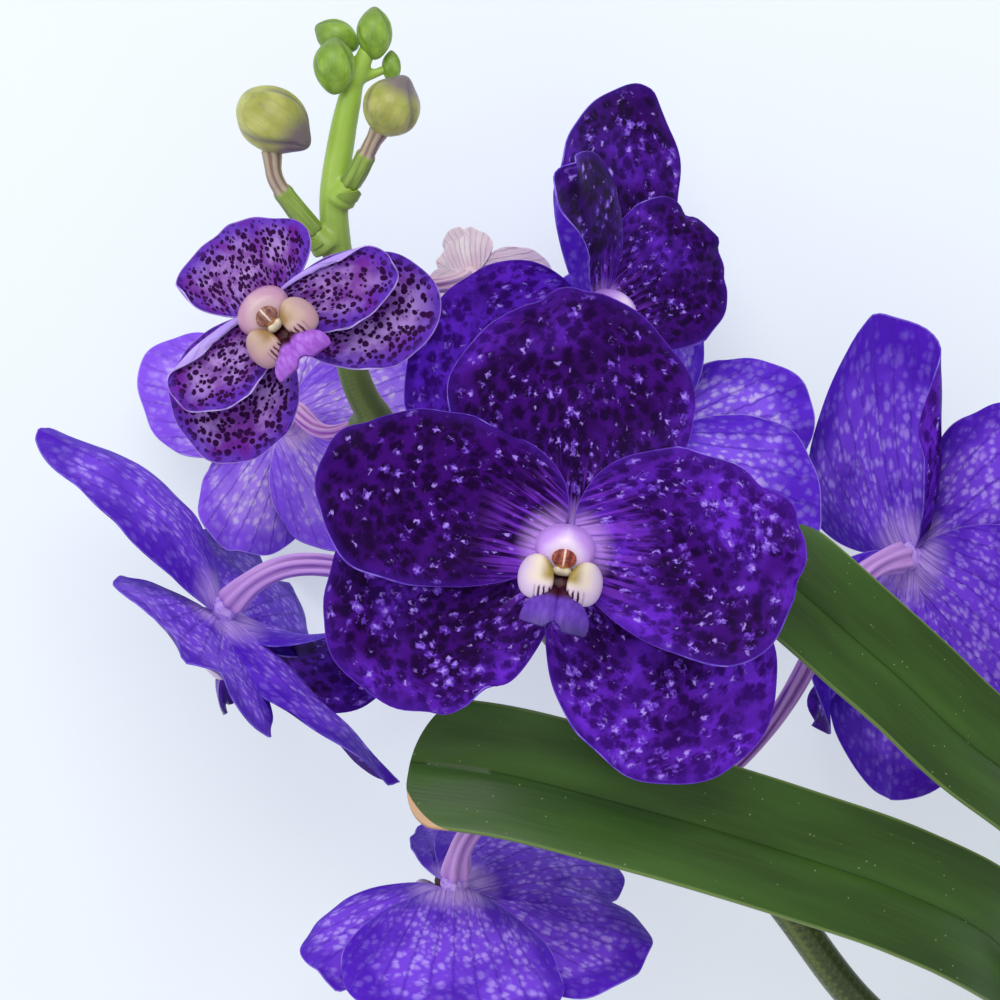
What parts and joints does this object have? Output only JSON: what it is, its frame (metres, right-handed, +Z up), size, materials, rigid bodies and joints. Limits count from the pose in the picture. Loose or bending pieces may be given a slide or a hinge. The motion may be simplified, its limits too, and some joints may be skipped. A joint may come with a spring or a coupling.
{
  "type": "vanda orchid",
  "caption": "Cut flowering shoot of a vanda orchid laid on a surface: spotted violet blooms and green buds on an arched stalk, with strap leaves on a short stem.",
  "frame": {"origin": "middle of the shoot's outline seen from above, on the surface it lies on", "axes": "+Z up, away from the surface; +Y along the stem, from its cut end to its top; +X from the blooms towards the stem"},
  "size_m": [0.307, 0.2954, 0.1264],
  "materials": {
    "petal": "satin petal",
    "lip": "waxy petal",
    "column": "waxy petal",
    "bloom_stalk": "ribbed, satin",
    "leaf": "waxy leaf, semi-gloss",
    "bud": "waxy, satin",
    "stem": "smooth plant stem, satin",
    "flower_stalk": "smooth plant stem, satin"
  },
  "bodies": {
    "root": {"bloom_bottom_column": "column", "bloom_bottom_lip": "lip", "bloom_bottom_petals": "petal", "bloom_bottom_stalk": "bloom_stalk", "bloom_left_lower_column": "column", "bloom_left_lower_lip": "lip", "bloom_left_lower_petals": "petal", "bloom_left_lower_stalk": "bloom_stalk", "bloom_left_upper_column": "column", "bloom_left_upper_lip": "lip", "bloom_left_upper_petals": "petal", "bloom_left_upper_stalk": "bloom_stalk", "bloom_main_column": "column", "bloom_main_lip": "lip", "bloom_main_petals": "petal", "bloom_main_stalk": "bloom_stalk", "bloom_pale_column": "column", "bloom_pale_lip": "lip", "bloom_pale_petals": "petal", "bloom_pale_stalk": "bloom_stalk", "bloom_right_lower_column": "column", "bloom_right_lower_lip": "lip", "bloom_right_lower_petals": "petal", "bloom_right_lower_stalk": "bloom_stalk", "bloom_right_upper_column": "column", "bloom_right_upper_lip": "lip", "bloom_right_upper_petals": "petal", "bloom_right_upper_stalk": "bloom_stalk", "bloom_top_column": "column", "bloom_top_lip": "lip", "bloom_top_petals": "petal", "bloom_top_stalk": "bloom_stalk", "bloom_young_column": "column", "bloom_young_lip": "lip", "bloom_young_petals": "petal", "bloom_young_stalk": "bloom_stalk", "bud_left": "bud", "bud_left_stalk": "bloom_stalk", "bud_right": "bud", "bud_right_stalk": "bloom_stalk", "bud_top_left": "bud", "bud_top_middle": "bud", "bud_top_right": "bud", "bud_top_small": "bud", "flower_stalk": "flower_stalk", "leaf_back": "leaf", "leaf_front": "leaf", "leaf_right_lower": "leaf", "leaf_right_upper": "leaf", "stem": "stem"}
  },
  "joints": []
}
